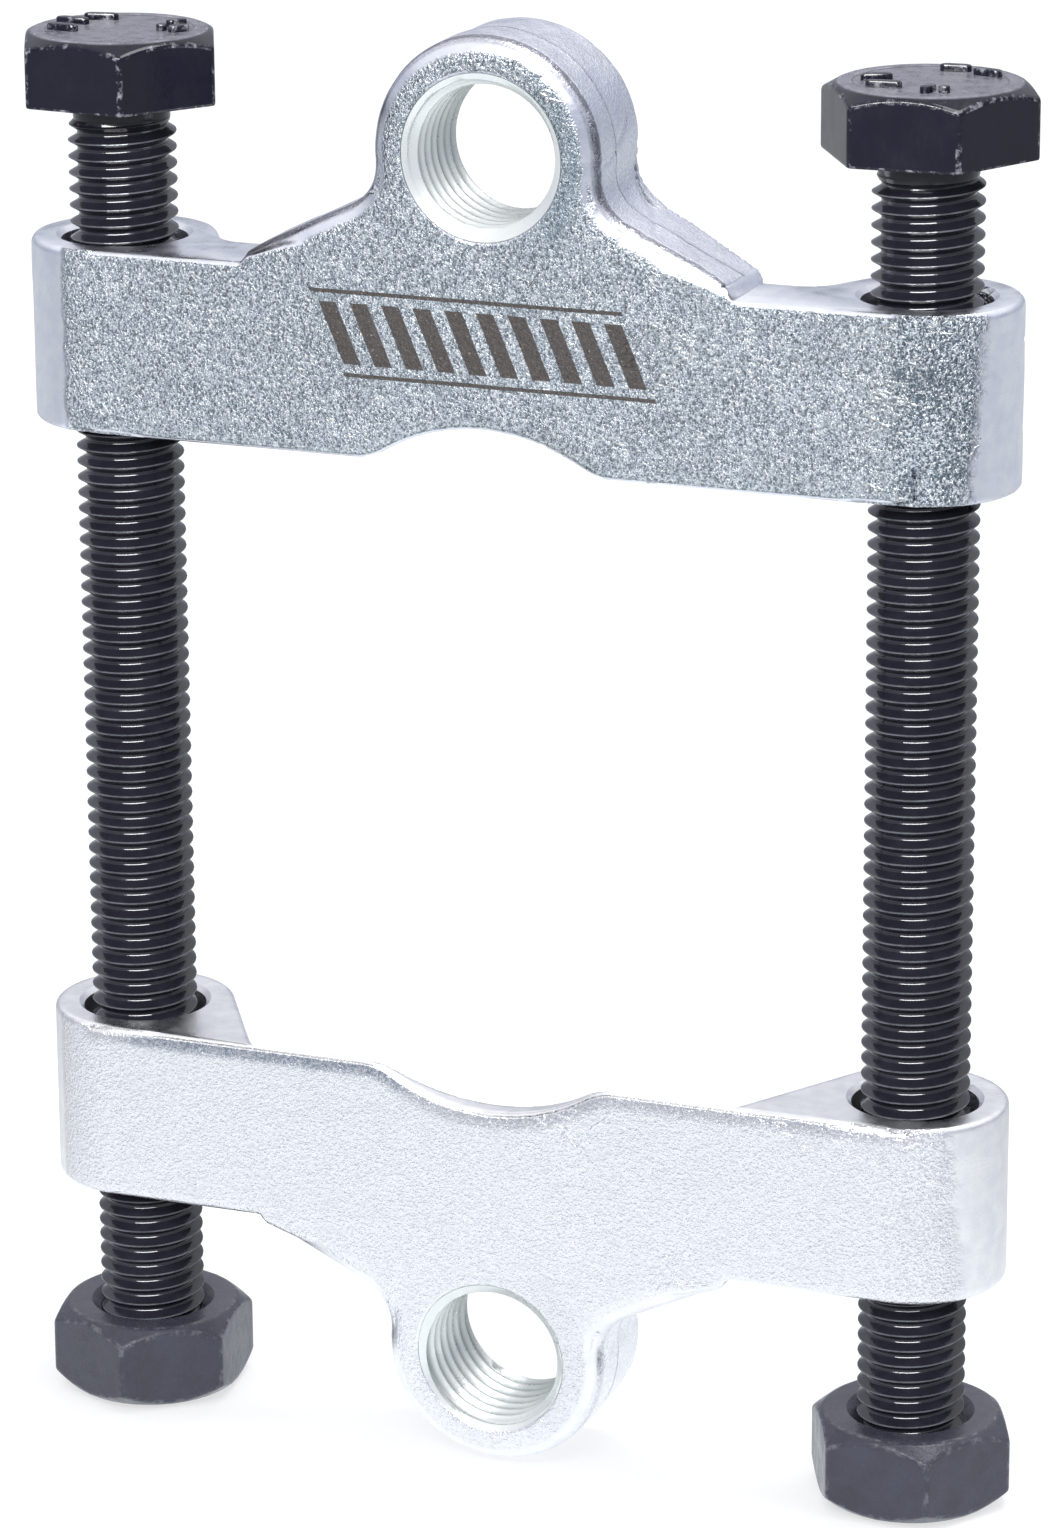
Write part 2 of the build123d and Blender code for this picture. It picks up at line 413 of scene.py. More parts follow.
def facet(side):
    """The cut that leaves a crisp flat at one ramp's foot."""
    (x1, z1), (x0, z0) = RAMP_FOOT, RAMP_END
    k = (z1 - z0) / (x1 - x0)
    prof = [(x0 - 2.0, z0 - 2.0 * k - 0.1), (x1 + 0.02, z1 - 0.1), (x1 + 0.02, 14.5), (x0 - 2.0, 14.5)]
    if side < 0:
        prof = [(-x, z) for x, z in reversed(prof)]
    v = [(x, y, z) for y in (-14, 14) for x, z in prof]
    f = [(0, 1, 2, 3), (7, 6, 5, 4)] + [(i, i + 4, (i + 1) % 4 + 4, (i + 1) % 4) for i in range(4)]
    return new_object("facet", v, f)


def bake(ob):
    """Applies the object's modifiers to its mesh."""
    dg = bpy.context.evaluated_depsgraph_get()
    dg.update()
    me = bpy.data.meshes.new_from_object(ob.evaluated_get(dg))
    ob.modifiers.clear()
    old = ob.data
    ob.data = me
    bpy.data.meshes.remove(old)


def combine(ob, tool, op="DIFFERENCE", solver="MANIFOLD"):
    m = ob.modifiers.new("cut", "BOOLEAN")
    m.operation = op
    m.solver = solver
    m.object = tool
    bake(ob)
    bpy.data.objects.remove(tool)


def arrays(me):
    co = np.empty(len(me.vertices) * 3, np.float32)
    me.vertices.foreach_get("co", co)
    no = np.empty(len(me.vertices) * 3, np.float32)
    me.vertices.foreach_get("normal", no)
    ed = np.empty(len(me.edges) * 2, np.int32)
    me.edges.foreach_get("vertices", ed)
    return co.reshape(-1, 3).astype(float), no.reshape(-1, 3).astype(float), ed.reshape(-1, 2)


def neighbour_mean(values, ed, count):
    out = np.zeros((count,) + values.shape[1:])
    num = np.zeros(count)
    np.add.at(out, ed[:, 0], values[ed[:, 1]])
    np.add.at(out, ed[:, 1], values[ed[:, 0]])
    np.add.at(num, ed[:, 0], 1)
    np.add.at(num, ed[:, 1], 1)
    num = np.maximum(num, 1)
    return out / (num[:, None] if values.ndim > 1 else num)


def attribute(me, name, values):
    a = me.attributes.get(name) or me.attributes.new(name, "FLOAT", "POINT")
    a.data.foreach_set("value", np.asarray(values, np.float32))


def step(x, a, b):
    t = np.clip((x - a) / (b - a), 0, 1)
    return t * t * (3 - 2 * t)


def field(pts, scale, seed):
    """Smooth noise in [-1, 1] at each point, one feature every `scale` mm."""
    off = Vector((seed * 17.3, seed * -7.1, seed * 3.7))
    return np.array([mnoise.noise(Vector(p) / scale + off) for p in pts])


# ---------------------------------------------------------------- yokes
def front_outline(src, home, plane):
    """Segments (in mm, in x and z) of the yoke's outline at one depth."""
    bm = bmesh.new()
    bm.from_mesh(src.data)
    bm.transform(home.inverted() @ src.matrix_world)
    bmesh.ops.bisect_plane(bm, geom=bm.verts[:] + bm.edges[:] + bm.faces[:], dist=1e-8,
        plane_co=(0, plane * MM, 0), plane_no=(0, 1, 0), clear_inner=True, clear_outer=True)
    seg = np.array([[(e.verts[0].co.x, e.verts[0].co.z), (e.verts[1].co.x, e.verts[1].co.z)]
        for e in bm.edges]) / MM
    bm.free()
    mid = seg.mean(1)
    return seg[np.hypot(mid[:, 0], mid[:, 1] - EYE_Z) > 8.6]


def nearest_on(seg, v):
    best = np.full(len(v), 1e9)
    q = np.zeros_like(v)
    which = np.zeros(len(v), int)
    for i, (s0, s1) in enumerate(seg):
        d = s1 - s0
        t = np.clip(((v - s0) @ d) / max(d @ d, 1e-12), 0, 1)
        c = s0 + t[:, None] * d
        dist = np.hypot(*(v - c).T)
        m = dist < best
        best[m] = dist[m]
        q[m] = c[m]
        which[m] = i
    return best, q, which


def rims(src, home):
    """The outer rim (with the fuller ramps) and the thin inner edge, as segments."""
    top = front_outline(src, home, -7.0)
    mid = top.mean(1)
    ax = np.abs(mid[:, 0])
    top = top[(mid[:, 1] > 6.0) & (ax < 42.0) & ~((ax > 9.0) & (ax < 23.3) & (mid[:, 1] > 8.0)
        & (mid[:, 1] < 16.5))]
    line = np.array(ramp_line())
    for s in (-1, 1):
        p = line * (s, 1)
        top = np.concatenate([top, np.stack([p[:-1], p[1:]], 1)])
    low = front_outline(src, home, -8.3)
    mid = low.mean(1)
    return top, low[(mid[:, 1] < -2.0) & (np.abs(mid[:, 0]) < 42.0)]


def round_rim(pts, no, top, low, small=0.8, large=2.4):
    """Rounds the front rim, more at the eye and its ramps than along the bar.

    The thin inner edge stays sharp between the bolts."""
    b = pts[:, 1] - FRONT_Y
    seg = np.concatenate([top, low])
    w = step(pts[:, 2], 8.7, 11.0)
    pick = np.where(b < large)[0]
    v = pts[pick][:, [0, 2]]
    best, q, which = nearest_on(seg, v)
    inner = which >= len(top)
    radius = (small + (large - small) * w)[pick]
    radius = np.where(inner, 0.8 * step(np.abs(v[:, 0]), 30.0, 36.0), radius)
    n2 = no[pick][:, [0, 2]]
    n2 = n2 / np.maximum(np.hypot(*n2.T), 1e-9)[:, None]
    inward = np.where((best > 0.15)[:, None], (v - q) / np.maximum(best, 1e-9)[:, None], -n2)
    r = radius
    bb = np.clip(b[pick], 0, None)
    a = np.minimum(best, r)
    away = np.hypot(r - a, r - bb)
    scale = np.where((best < r) & (bb < r) & (away > r) & (r > 0.1), r / np.maximum(away, 1e-9), 1.0)
    out = pts.copy()
    shift = (r - (r - a) * scale) - a
    out[pick, 0] += inward[:, 0] * shift
    out[pick, 2] += inward[:, 1] * shift
    out[pick, 1] += np.where(scale < 1.0, (r - (r - bb) * scale) - bb, 0.0)
    return out


def parting(pts, seed):
    """The wandering line along the outer walls where the forging dies met."""
    return MID_Y + 0.45 * np.array([mnoise.noise(Vector((p[0] / 6.0, p[2] / 6.0, seed * 3.3)))
        for p in pts])


def make_yoke(name, flip, centre, mouth_r, seed, lumps):
    """The forged yoke: its CAD solid, holes filled, is remeshed and roughened, then the holes are cut."""
    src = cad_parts[name]
    ob = bpy.data.objects.new(name + "_body", src.data.copy())
    bpy.context.scene.collection.objects.link(ob)
    ob.data.transform(src.matrix_world)
    ob.data.materials.clear()
    s = -1.0 if flip else 1.0
    home = Matrix.Translation((0, 0, centre * MM))
    if flip:
        home = home @ Matrix.Rotation(math.pi, 4, "Y")
    ob.data.transform(home.inverted())
    tidy(ob, 1e-7)
    # fill the eye and the two bolt holes
    back_y = FRONT_Y + WEB_T
    plug = lathe([(PLUG_EYE_R, -back_y), (PLUG_EYE_R, -FRONT_Y)])
    plug.data.transform(Matrix.Translation((0, 0, EYE_Z * MM)) @ Matrix.Rotation(math.pi / 2, 4, "X"))
    plugs = [plug]
    for x in (-BOLT_X, BOLT_X):
        p = lathe([(PLUG_HOLE_R, -BAR_H / 2), (PLUG_HOLE_R, BAR_H / 2)])
        move(p, x=x)
        plugs.append(p)
    plugs += [ramp(-1), ramp(1)]
    bm = bmesh.new()
    bm.from_mesh(ob.data)
    for p in plugs:
        bm.from_mesh(p.data)
        bpy.data.objects.remove(p)
    bm.to_mesh(ob.data)
    bm.free()
    solid = ob.data.copy()
    top, low = rims(src, home)
    m = ob.modifiers.new("remesh", "REMESH")
    m.mode = "VOXEL"
    m.voxel_size = VOXEL * MM
    m.adaptivity = 0
    bake(ob)
    me = ob.data
    # settle the new skin on the true faces
    sb = bmesh.new()
    sb.from_mesh(solid)
    bmesh.ops.triangulate(sb, faces=sb.faces)
    tree = BVHTree.FromBMesh(sb)
    sb.free()
    co, no, ed = arrays(me)
    for k in range(2):
        co = co + 0.35 * (neighbour_mean(co, ed, len(co)) - co)
    near = np.array([tree.find_nearest(Vector(c))[0] for c in co])
    gap = np.linalg.norm(near - co, axis=1)
    co = np.where((gap < 0.3 * MM)[:, None], near, co)
    co = co + 0.25 * (neighbour_mean(co, ed, len(co)) - co)
    co = round_rim(co / MM, no, top, low) * MM
    me.vertices.foreach_set("co", co.astype(np.float32).ravel())
    me.update()
    co, no, ed = arrays(me)
    pts = co / MM
    x, y, z = pts.T
    ax = np.abs(x)
    # machined faces: the outer pads round the bolt holes, and the whole inner side
    pad = (no[:, 2] > 0.95) & (z > BAR_H / 2 - 0.15) & (ax > 21)
    inner = (no[:, 2] < -0.9) & (z < -BAR_H / 2 + 0.2)
    rough = 1.0 - (pad | inner).astype(float)
    for k in range(3):
        rough = np.minimum(rough, neighbour_mean(rough, ed, len(rough)) + 0.25)
    end = step(ax, BOLT_X - 1.5, BOLT_X + 1.5)
    wall = (1 - step(np.abs(no[:, 1]), 0.5, 0.8)) * step(z, 9.0, 10.2)
    split = parting(pts, seed)
    ridge = wall * ((1 - step(y, split - 0.15,
        split + 0.15)) * 0.13 + 0.07 * np.exp(-(((y - split) / 0.25) ** 2)))
    # forged skin, in mm: long and short waves, small dents, and folds towards the right end
    wave = field(pts, 9.0, seed) * 0.07 + field(pts, 4.2, seed + 1) * 0.075
    dents = field(pts, 1.7, seed + 2)
    wave += dents * 0.022
    crease = np.clip(1 - np.abs(field(pts, 6.5, seed + 4)) / 0.10, 0,
        1) ** 1.5 * step(field(pts, 14.0, seed + 6), -0.1, 0.35)
    wave -= crease * 0.20 * step(x * s, -6.0, 12.0)
    wave *= lumps
    wave *= rough * (1 - 0.45 * end)
    wave += ridge
    co = co + no * (wave * MM)[:, None]
    me.vertices.foreach_set("co", co.astype(np.float32).ravel())
    me.update()
    # machined flats: the pads round the bolt holes and the facets at the ramps' feet
    reach = 52
    for sx in (-1, 1):
        combine(ob, block(*sorted((sx * RAMP_FOOT[0], sx * reach)), -14, 14, PAD_Z, 12))
        combine(ob, facet(sx))
    # crisp holes; the eye's thread flares to back_r at the back
    back_r = 7.4
    tool = tap(-0.9, WEB_T + 0.9, EYE_MINOR, EYE_MAJOR, EYE_PITCH, mouth_r, back_r)
    tool.data.transform(Matrix.Translation((0, FRONT_Y * MM, EYE_Z * MM)) @ Matrix.Rotation(-math.pi / 2, 4,
        "X"))
    combine(ob, tool)
    for hx in (-BOLT_X, BOLT_X):
        h = BAR_H / 2
        c = 0.45
        tool = lathe([(HOLE_R + c + 1, -h - 1), (HOLE_R + c, -h), (HOLE_R, -h + c), (HOLE_R, PAD_Z - c),
            (HOLE_R + c, PAD_Z), (HOLE_R + c + 1, PAD_Z + 1)], 96)
        move(tool, x=hx)
        combine(ob, tool)
    ob.name = name + "_forging"
    tidy(ob, 1e-6)
    me = ob.data
    co, no, ed = arrays(me)
    # how sharply the skin turns outward (edges) or inward (hollows): edges are paled, partly as wear and
    # partly as a painted highlight, and hollows get a painted shade
    d = neighbour_mean(co, ed, len(co)) - co
    bend = -(d * no).sum(1) / (0.3 * MM)
    for k in range(2):
        bend = 0.5 * bend + 0.5 * neighbour_mean(bend, ed, len(bend))
    attribute(me, "bend", bend)
    pts = co / MM
    attribute(me, "part", pts[:, 1] - parting(pts, seed))
    attribute(me, "din", np.minimum(nearest_on(low, pts[:, [0, 2]])[0], 4.0))
    attribute(me, "lx", pts[:, 0] * s)
    attribute(me, "ly", pts[:, 1])
    attribute(me, "lz", pts[:, 2])
    me.transform(home)
    shade(ob, 42)
    return ob


pieces = {}
for side in ("left", "right"):
    b = make_bolt(side + "_bolt", side)
    move(b, x=-BOLT_X if side == "left" else BOLT_X)
    b.name = side + "_bolt_threaded"
    pieces[side + "_bolt"] = b
    b = make_nut(side + "_nut", side)
    move(b, x=-BOLT_X if side == "left" else BOLT_X)
    b.name = side + "_nut_tapped"
    pieces[side + "_nut"] = b
pieces["upper_yoke"] = make_yoke("upper_yoke", False, UPPER_Z, 7.6, 3, 1.0)
pieces["lower_yoke"] = make_yoke("lower_yoke", True, LOWER_Z, 7.3, 11, 0.22)
for node, ob in pieces.items():
    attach(ob, node)
    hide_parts(node)


# ---------------------------------------------------------------- materials
class Graph:
    """A small helper to write node graphs as expressions."""

    def __init__(self, name):
        self.mat = bpy.data.materials.new(name)
        self.mat.use_nodes = True
        self.t = self.mat.node_tree
        self.t.nodes.clear()

    def put(self, socket, value):
        if isinstance(value, bpy.types.NodeSocket):
            self.t.links.new(value, socket)
        elif value is not None:
            if isinstance(value, tuple) and len(value) == 3 and socket.type == "RGBA":
                value = value + (1.0,)
            socket.default_value = value

    def node(self, kind, out=0, props=None, **inputs):
        n = self.t.nodes.new(kind)
        for k, v in (props or {}).items():
            setattr(n, k, v)
        for k, v in inputs.items():
            self.put(n.inputs[k.replace("_", " ")], v)
        return n.outputs[out]

    def math(self, op, a, b=None, c=None, clamp=False):
        n = self.t.nodes.new("ShaderNodeMath")
        n.operation = op
        n.use_clamp = clamp
        for i, v in enumerate((a, b, c)):
            if v is not None:
                self.put(n.inputs[i], v)
        return n.outputs[0]

    def smooth(self, x, a, b, lo=0.0, hi=1.0):
        n = self.t.nodes.new("ShaderNodeMapRange")
        n.interpolation_type = "SMOOTHSTEP"
        for i, v in enumerate((x, a, b, lo, hi)):
            self.put(n.inputs[i], v)
        return n.outputs[0]

    def mix(self, f, a, b, kind="MIX"):
        n = self.t.nodes.new("ShaderNodeMix")
        n.data_type = "RGBA"
        n.blend_type = kind
        self.put(n.inputs[0], f)
        self.put(n.inputs[6], a)
        self.put(n.inputs[7], b)
        return n.outputs[2]

    def lerp(self, f, a, b):
        n = self.t.nodes.new("ShaderNodeMix")
        n.data_type = "FLOAT"
        self.put(n.inputs[0], f)
        self.put(n.inputs[2], a)
        self.put(n.inputs[3], b)
        return n.outputs[0]

    def attr(self, name):
        return self.node("ShaderNodeAttribute", 2, {"attribute_name": name})

    def noise(self, vec, size_mm, detail=2.0, rough=0.5, distort=0.0):
        return self.node("ShaderNodeTexNoise", 0, {"noise_dimensions": "3D"}, Vector=vec,
            Scale=1.0 / size_mm, Detail=detail, Roughness=rough, Distortion=distort)

    def _vmul(self, vec, k):
        n = self.t.nodes.new("ShaderNodeVectorMath")
        n.operation = "MULTIPLY"
        self.put(n.inputs[0], vec)
        n.inputs[1].default_value = k
        return n.outputs[0]

    def bump(self, height, distance_mm, strength=1.0, normal=None):
        n = self.t.nodes.new("ShaderNodeBump")
        self.put(n.inputs["Height"], height)
        n.inputs["Distance"].default_value = distance_mm * MM
        self.put(n.inputs["Strength"], strength)
        if normal is not None:
            self.put(n.inputs["Normal"], normal)
        return n.outputs[0]

    def place(self):
        """Object coordinates in mm."""
        tc = self.t.nodes.new("ShaderNodeTexCoord")
        return self._vmul(tc.outputs["Object"], (1000, 1000, 1000))

    def xyz(self, vec):
        n = self.t.nodes.new("ShaderNodeSeparateXYZ")
        self.put(n.inputs[0], vec)
        return n.outputs

    def surface(self, **kw):
        b = self.t.nodes.new("ShaderNodeBsdfPrincipled")
        for k, v in kw.items():
            self.put(b.inputs[k.replace("_", " ")], v)
        o = self.t.nodes.new("ShaderNodeOutputMaterial")
        self.t.links.new(b.outputs[0], o.inputs[0])
        return self.mat


# colours of the zinc, linear RGB
# painted shade on the grained right end, where its curve reflects less light
FAR_RIGHT_PAINTED_SHADE = (0.09, 0.13, 0.165)
EYE_SHADE = (0.22, 0.29, 0.34)
# painted shade in a band along the thin inner edge, then a painted highlight on the edge itself
INNER_EDGE_PAINTED_SHADE = (0.26, 0.32, 0.38)
INNER_EDGE_PAINTED_HIGHLIGHT = (0.97, 0.98, 1.0)
# painted highlight along the folds
FOLD_PAINTED_HIGHLIGHT = (0.92, 0.95, 0.98)
# paler edges: partly wear, partly a painted highlight
EDGE_WEAR_AND_HIGHLIGHT = (0.93, 0.95, 0.98)
BORE_LIGHT = (0.87, 0.90, 0.885)
# painted shade in the roots of the eye's thread
BORE_GROOVE_SHADE = (0.40, 0.43, 0.43)
# painted shade on the rim's outer half, and a thin painted dark line where it turns into the wall
RIM_PAINTED_SHADE = (0.21, 0.21, 0.26)
RIM_TURN_PAINTED_SHADE = (0.14, 0.14, 0.17)
FLASH_DARK = (0.22, 0.22, 0.27)
ETCH = (0.115, 0.098, 0.086)


def zinc(name, base, rub, grain, specks, mouth, mark=False, reach=(-40.7, 44.6)):
    """Zinc-plated forging: grained front between reach (mm), smooth elsewhere, dark bars if mark."""
    g = Graph(name)
    p = g.place()
    lx, ly, lz, bend, din = g.attr("lx"), g.attr("ly"), g.attr("lz"), g.attr("bend"), g.attr("din")
    nrm = g.xyz(g.node("ShaderNodeNewGeometry", 1))
    # zones: the grained face stops abruptly on the round ends
    axx = g.math("ABSOLUTE", lx)
    front = g.lerp(g.smooth(axx, 37.5, 38.5), g.smooth(nrm[1], -0.80, -0.93),
        g.smooth(nrm[1], -0.35, -0.62))
    cast = g.math("MULTIPLY", g.smooth(lz, 9.45, 9.6), g.smooth(axx, 22.7, 22.4))
    cast = g.math("MULTIPLY", cast, g.smooth(g.math("ABSOLUTE", nrm[1]), 0.6, 0.4))
    dz = g.math("SUBTRACT", lz, EYE_Z)
    away = g.math("SQRT", g.math("ADD", g.math("MULTIPLY", lx, lx), g.math("MULTIPLY", dz, dz)))
    wob = g.math("MULTIPLY", g.math("SUBTRACT", g.noise(p, 2.0, 3.0), 0.5), 1.5)
    lean = g.math("MULTIPLY", lz, 0.06)
    rightward = g.smooth(g.math("ADD", g.math("SUBTRACT", lx, lean), wob), reach[1] + 0.5, reach[1] - 0.5)
    leftward = g.smooth(g.math("ADD", lx, g.math("MULTIPLY", wob, 0.5)), reach[0] - 0.4, reach[0] + 0.4)
    grainy = g.math("MULTIPLY", front, g.math("MULTIPLY", rightward, leftward))
    bore = g.smooth(away, mouth + 0.05, mouth - 0.05)
    grainy = g.math("MULTIPLY", grainy, g.math("SUBTRACT", 1.0, bore))
    # crystalline grain of the plated forging
    a = g.noise(p, 0.17, 1.0, 0.5)
    b = g.noise(p, 0.31, 1.5, 0.5)
    c = g.noise(p, 5.0, 3.0, 0.55)
    worm = g.math("ABSOLUTE", g.math("SUBTRACT", g.noise(p, 0.42, 1.0, 0.5, 0.6), 0.5))
    ab = g.math("ADD", g.math("MULTIPLY", a, 0.5), g.math("MULTIPLY", b, 0.5))
    sp = g.smooth(ab, 0.38, 0.52)
    spark = g.smooth(ab, 0.52, 0.62)
    body = g.mix(g.math("MULTIPLY", g.math("SUBTRACT", 1.0, sp), specks), base,
        tuple(v * 0.36 for v in base))
    body = g.mix(g.math("MULTIPLY", spark, specks), body, tuple(min(1.0, v * 1.75) for v in base))
    # painted shade on the grained right end, where its curve reflects less light
    body = g.mix(g.math("MULTIPLY", g.smooth(lx, 37.0, 39.0, 0.0, 0.75 * specks),
        g.smooth(g.math("ADD", g.math("MULTIPLY", ab, 0.75), g.math("MULTIPLY", c, 0.25)), 0.54, 0.45)),
        body, FAR_RIGHT_PAINTED_SHADE)
    shade = g.math("MULTIPLY", g.smooth(away, 11.5, 9.0), g.smooth(lx, 2.0, 7.0, -0.25, 1.0))
    body = g.mix(g.math("MULTIPLY", g.math("MAXIMUM", shade, 0.0), 0.45 * specks), body, EYE_SHADE)
    if not mark:
        # painted shade in a band along the thin inner edge, then a painted highlight on the edge itself
        inner_edge_shade = g.math("MULTIPLY", g.smooth(din, 1.9, 0.9), g.smooth(lx, -7.0, -10.0, 0.25, 0.8))
        inner_edge_shade = g.math("MULTIPLY", g.math("MULTIPLY", inner_edge_shade, g.smooth(g.math("ABSOLUTE", lx), 39.5, 34.0)),
            g.smooth(ab, 0.56, 0.44, 0.45, 1.0))
        body = g.mix(inner_edge_shade, body, INNER_EDGE_PAINTED_SHADE)
        body = g.mix(g.smooth(din, 0.45, 0.30), body, INNER_EDGE_PAINTED_HIGHLIGHT)
    large = g.smooth(c, 0.3, 0.7, 1.0 - 0.08 * specks, 1.0 + 0.05 * specks)
    body = g.mix(1.0, body, g.node("ShaderNodeCombineColor", 0, None, Red=large, Green=large, Blue=large),
        "MULTIPLY")
    fold = g.smooth(g.math("ABSOLUTE", g.math("SUBTRACT",
        g.noise(g._vmul(p, (0.7, 1.0, 1.5)), 6.0, 3.0, 0.6), 0.5)), 0.022, 0.0)
    fold = g.math("MULTIPLY", g.math("MULTIPLY", fold, g.smooth(g.noise(p, 11.0, 1.0), 0.50, 0.58)),
        g.math("MULTIPLY", grainy, g.smooth(lx, -10.0, 0.0)))
    # the folds are painted paler along their lines: a painted highlight
    body = g.mix(g.math("MULTIPLY", fold, 0.6 * specks), body, FOLD_PAINTED_HIGHLIGHT)
    plain = g.mix(g.smooth(g.noise(p, 1.6, 3.0), 0.3, 0.7), rub, tuple(min(1.0, v * 1.10) for v in rub))
    plain = g.mix(g.math("MULTIPLY", cast, g.smooth(ab, 0.55, 0.42)), plain, tuple(0.90 * v for v in rub))
    col = g.mix(grainy, plain, body)
    # paler convex edges: partly wear, partly a painted highlight
    edge = g.smooth(bend, 0.04, 0.16)
    col = g.mix(g.math("MULTIPLY", edge, 0.35), col, EDGE_WEAR_AND_HIGHLIGHT)
    # painted shade in the roots of the eye's thread
    deep = g.smooth(g.math("ABSOLUTE", g.math("ADD", ly, 2.6)), 4.9, 4.5)
    groove_shade = g.math("MULTIPLY", g.smooth(away, 6.45, 6.9), deep)
    col = g.mix(bore, col, g.mix(groove_shade, BORE_LIGHT, BORE_GROOVE_SHADE))
    # the rim's outer half gets a painted shade, then a thin painted dark line where it turns into the outer
    # wall, and a broken line where the forging dies met (flash)
    outer = g.math("MULTIPLY", g.math("MULTIPLY", g.smooth(nrm[1], -0.80, -0.68),
        g.smooth(nrm[1], -0.12, -0.25)), g.smooth(lz, 8.8, 9.4))
    outer = g.math("MULTIPLY", g.math("MULTIPLY", outer, g.smooth(ab, 0.60, 0.44, 0.55, 1.0)),
        g.math("SUBTRACT", 1.0, bore))
    col = g.mix(g.math("MULTIPLY", outer, 0.50 if mark else 0.12), col, RIM_PAINTED_SHADE)
    # a thin painted dark line where the rim turns into the outer wall
    rim_turn_shade = g.math("MULTIPLY", g.smooth(nrm[1], -0.10, -0.18), g.smooth(nrm[1], -0.48, -0.34))
    rim_turn_shade = g.math("MULTIPLY", g.math("MULTIPLY", rim_turn_shade, g.smooth(lz, 8.8, 9.4)),
        g.smooth(g.noise(p, 1.1, 3.0, 0.7), 0.30, 0.50))
    rim_turn_shade = g.math("MULTIPLY", rim_turn_shade, g.math("SUBTRACT", 1.0, bore))
    col = g.mix(g.math("MULTIPLY", rim_turn_shade, 0.75 * specks), col, RIM_TURN_PAINTED_SHADE)
    flash = g.math("MULTIPLY", g.smooth(g.math("ABSOLUTE", g.attr("part")), 0.26, 0.08),
        g.math("MULTIPLY", cast, g.smooth(g.noise(p, 1.7, 3.0, 0.7), 0.24, 0.46)))
    col = g.mix(g.math("MULTIPLY", flash, 0.85), col, FLASH_DARK)
    # painted shade in the hollows
    hollow_shade = g.smooth(bend, -0.03, -0.14)
    col = g.mix(g.math("MULTIPLY", hollow_shade, 0.3), col, tuple(0.5 * v for v in rub))
    rough = g.lerp(grainy, 0.30, 0.27)
    rough = g.math("ADD", rough, g.math("MULTIPLY", g.smooth(g.noise(p, 2.2, 3.0), 0.3, 0.7, -0.05, 0.07),
        g.lerp(grainy, 1.0, 0.15)))
    h = g.math("ADD", g.math("MULTIPLY", a, 0.55),
        g.math("ADD", g.math("MULTIPLY", b, 0.9), g.math("MULTIPLY", worm, 0.8)))
    # the face rolls over towards the inner edge
    q = g.math("MAXIMUM", g.math("SUBTRACT", 2.0, din), 0.0)
    q2 = g.math("MAXIMUM", g.math("SUBTRACT", 0.4, din), 0.0)
    roll = g.math("ADD", g.math("MULTIPLY", g.math("MULTIPLY", q, q), -0.085),
        g.math("MULTIPLY", g.math("MULTIPLY", q2, q2), -2.5))
    n0 = g.bump(roll, 1.0, front)
    calm = g.lerp(g.math("MULTIPLY", g.smooth(q, 0.3, 1.8), front), 1.0, 0.5)
    n1 = g.bump(g.math("MULTIPLY", g.math("MULTIPLY", h, calm),
        g.lerp(grainy, g.lerp(cast, 0.05, 0.45), grain)), 0.16, 1.0, n0)
    n1 = g.bump(fold, 0.35 * specks, 1.0, n1)
    brushed = g.noise(g._vmul(p, (0.6, 0.6, 5.0)), 0.8, 2.0)
    n1 = g.bump(g.math("MULTIPLY", brushed, g.lerp(grainy, 1.0, 0.0)), 0.012, 0.6, n1)
    metal = g.lerp(bore, 1.0, 0.5)
    if mark:
        # a generic etched band: slanted bars between two thin lines
        u = g.math("ADD", lx, g.math("MULTIPLY", g.math("SUBTRACT", lz, MARK_Z), 0.42))
        v = g.math("ABSOLUTE", g.math("SUBTRACT", lz, MARK_Z))
        bars = g.math("FRACT", g.math("DIVIDE", g.math("ADD", u, 44.4), 3.0))
        bars = g.math("MULTIPLY", g.smooth(bars, 0.0, 0.04), g.smooth(bars, 0.60, 0.56))
        du = g.smooth(g.math("ABSOLUTE", u), 14.8, 14.7)
        bars = g.math("MULTIPLY", bars, g.smooth(v, 2.85, 2.75))
        line = g.math("MULTIPLY", g.smooth(v, 3.55, 3.62), g.smooth(v, 3.98, 3.91))
        m = g.math("MULTIPLY", g.math("MULTIPLY", g.math("MAXIMUM", bars, line), du), front)
        m = g.math("MULTIPLY", m, g.smooth(g.noise(p, 0.22, 1.0), 0.22, 0.34, 0.6, 0.95))
        col = g.mix(m, col, ETCH)
        rough = g.math("ADD", rough, g.math("MULTIPLY", m, 0.22))
        metal = g.math("MULTIPLY", metal, g.lerp(m, 1.0, 0.6))
    return g.surface(Base_Color=col, Metallic=metal, Roughness=rough, Normal=n1)


